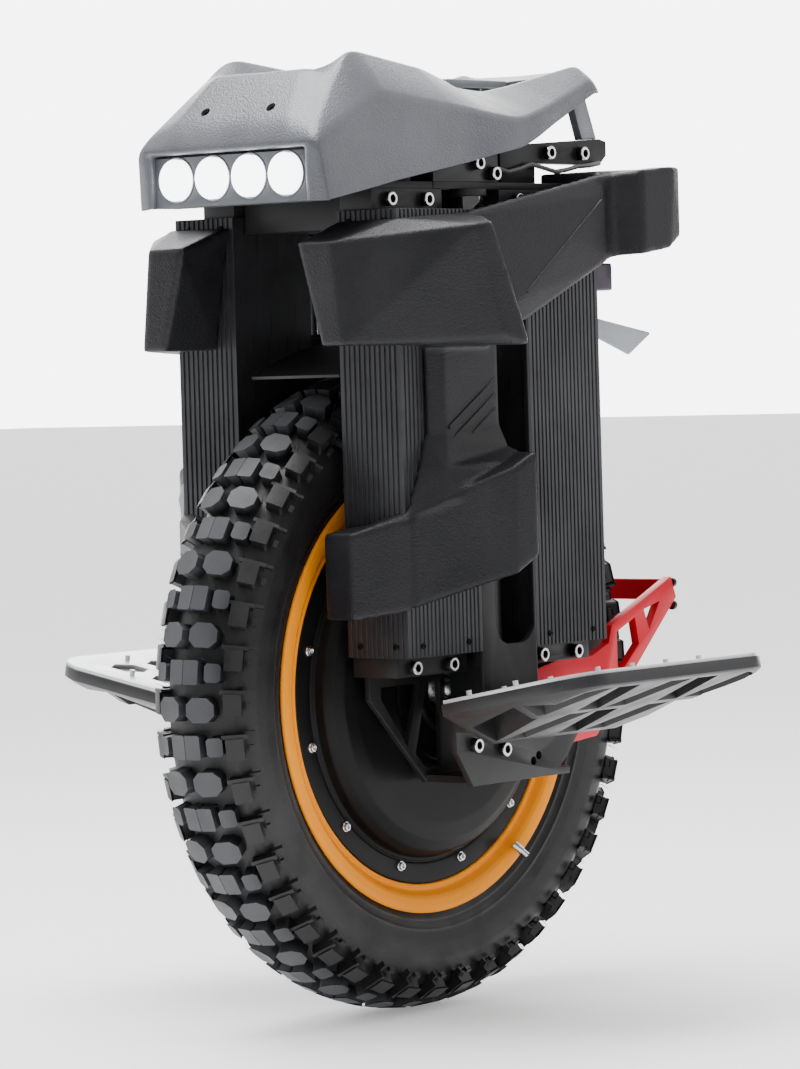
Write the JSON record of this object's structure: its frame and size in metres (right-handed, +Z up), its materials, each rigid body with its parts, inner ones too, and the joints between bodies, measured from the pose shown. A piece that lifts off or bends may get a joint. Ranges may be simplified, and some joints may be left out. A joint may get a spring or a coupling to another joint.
{
  "type": "suspension unicycle",
  "caption": "Self-balancing electric unicycle: knobbly hub-motor wheel on a sprung fork between finned battery columns, with folding pedals, side bumpers and a top shell.",
  "frame": {"origin": "the point where the tyre touches the ground, under the middle of the wheel", "axes": "+X along the wheel axle to the rider's left, -Y towards the headlights, +Z up"},
  "size_m": [0.5726, 0.564, 0.784],
  "materials": {
    "tyre_rubber": "moulded knobbly rubber",
    "rim_orange": "glossy orange powder coat",
    "motor_black": "satin black",
    "bright_steel": "bright socket heads",
    "magnet_steel": "plain",
    "copper": "lacquered windings",
    "fork_black": "satin black",
    "chrome": "polished",
    "anodised_black": "black anodised, finned",
    "cell_blue": "shrink wrap",
    "frame_black": "satin black",
    "board_green": "circuit board",
    "panel_grey": "moulded grey",
    "lamp_white": "lit lamp lens",
    "shell_plastic": "pebbled dark grey",
    "handle_grey": "satin anodised",
    "lead_grey": "grey sheath",
    "bumper_foam": "pebbled black foam skin",
    "pedal_black": "satin black casting",
    "grip_silver": "brushed, with studs",
    "guard_red": "glossy red anodised",
    "lamp_red": "dark red lens",
    "visor_grey": "light grey",
    "button_red": "red",
    "cap_rubber": "soft cap",
    "cable_black": "black sheath"
  },
  "bodies": {
    "chassis": {"battery_case_front_right": "anodised_black", "battery_case_front_left": "anodised_black", "battery_case_rear_right": "anodised_black", "battery_case_rear_left": "anodised_black", "battery_end_plates": "anodised_black", "battery_packs": "cell_blue", "column_feet": "frame_black", "column_heads": "frame_black", "side_frame_right": "frame_black", "side_frame_left": "frame_black", "frame_bolts": "bright_steel", "stanchion_right": "chrome", "stanchion_left": "chrome", "stanchion_collars": "cap_rubber", "top_deck": "frame_black", "crown_blocks": "fork_black", "controller_case": "frame_black", "controller_board": "board_green", "headlight_housing": "panel_grey", "headlight_lenses": "lamp_white", "top_shell": "shell_plastic", "shell_screws": "motor_black", "handle_bar": "handle_grey", "handle_posts": "frame_black", "tail_struts": "handle_grey", "tail_brackets": "frame_black", "rear_cable": "lead_grey", "bumper_right": "bumper_foam", "bumper_left": "bumper_foam", "hanger_right": "frame_black", "hanger_left": "frame_black", "pedal_pins": "bright_steel", "rear_guard_right": "guard_red", "rear_guard_left": "guard_red", "rear_guard_plate": "guard_red", "tail_light": "lamp_red", "rear_visor": "visor_grey"},
    "carrier": {"axle": "bright_steel", "stator": "copper", "axle_nuts": "bright_steel", "fork_leg_right": "fork_black", "fork_leg_left": "fork_black", "mudguard": "frame_black", "mudguard_stays": "frame_black", "motor_cable": "cable_black"},
    "wheel": {"tyre": "tyre_rubber", "rim": "rim_orange", "motor_cover_right": "motor_black", "motor_cover_left": "motor_black", "cover_bolts": "bright_steel", "valve_stem": "bright_steel", "magnet_ring": "magnet_steel", "hub_bearings": "bright_steel"},
    "pedal_r": {"pedal_right": "pedal_black", "grip_plate_right": "grip_silver"},
    "pedal_l": {"pedal_left": "pedal_black", "grip_plate_left": "grip_silver"},
    "lift_switch": {"lift_button": "button_red"},
    "power_switch": {"power_button": "button_red"},
    "charge_flap": {"charge_cap": "cap_rubber"}
  },
  "joints": [
    {"name": "suspension", "type": "slide", "parent": "chassis", "child": "carrier", "axis": [0, 0, 1], "range_m": [0, 0.08], "stiffness_N_per_m": 14000, "springref_m": -0.012},
    {"name": "wheel_spin", "type": "hinge", "parent": "carrier", "child": "wheel", "pos_m": [0, 0, 0.267], "axis": [1, 0, 0], "continuous": true},
    {"name": "pedal_right_fold", "type": "hinge", "parent": "chassis", "child": "pedal_r", "pos_m": [0.1364, 0, 0.25], "axis": [0, -1, 0], "range_deg": [0, 45]},
    {"name": "pedal_left_fold", "type": "hinge", "parent": "chassis", "child": "pedal_l", "pos_m": [-0.1364, 0, 0.25], "axis": [0, 1, 0], "range_deg": [0, 45]},
    {"name": "lift_button_press", "type": "slide", "parent": "chassis", "child": "lift_switch", "axis": [0, 0, 1], "range_m": [0, 0.0025], "stiffness_N_per_m": 400, "springref_m": -0.002},
    {"name": "power_button_press", "type": "slide", "parent": "chassis", "child": "power_switch", "axis": [0, -1, 0], "range_m": [0, 0.002], "stiffness_N_per_m": 400, "springref_m": -0.002},
    {"name": "charge_cap_lift", "type": "hinge", "parent": "chassis", "child": "charge_flap", "pos_m": [0.025, 0.1183, 0.6714], "axis": [1, 0, 0], "range_deg": [0, 100]}
  ]
}
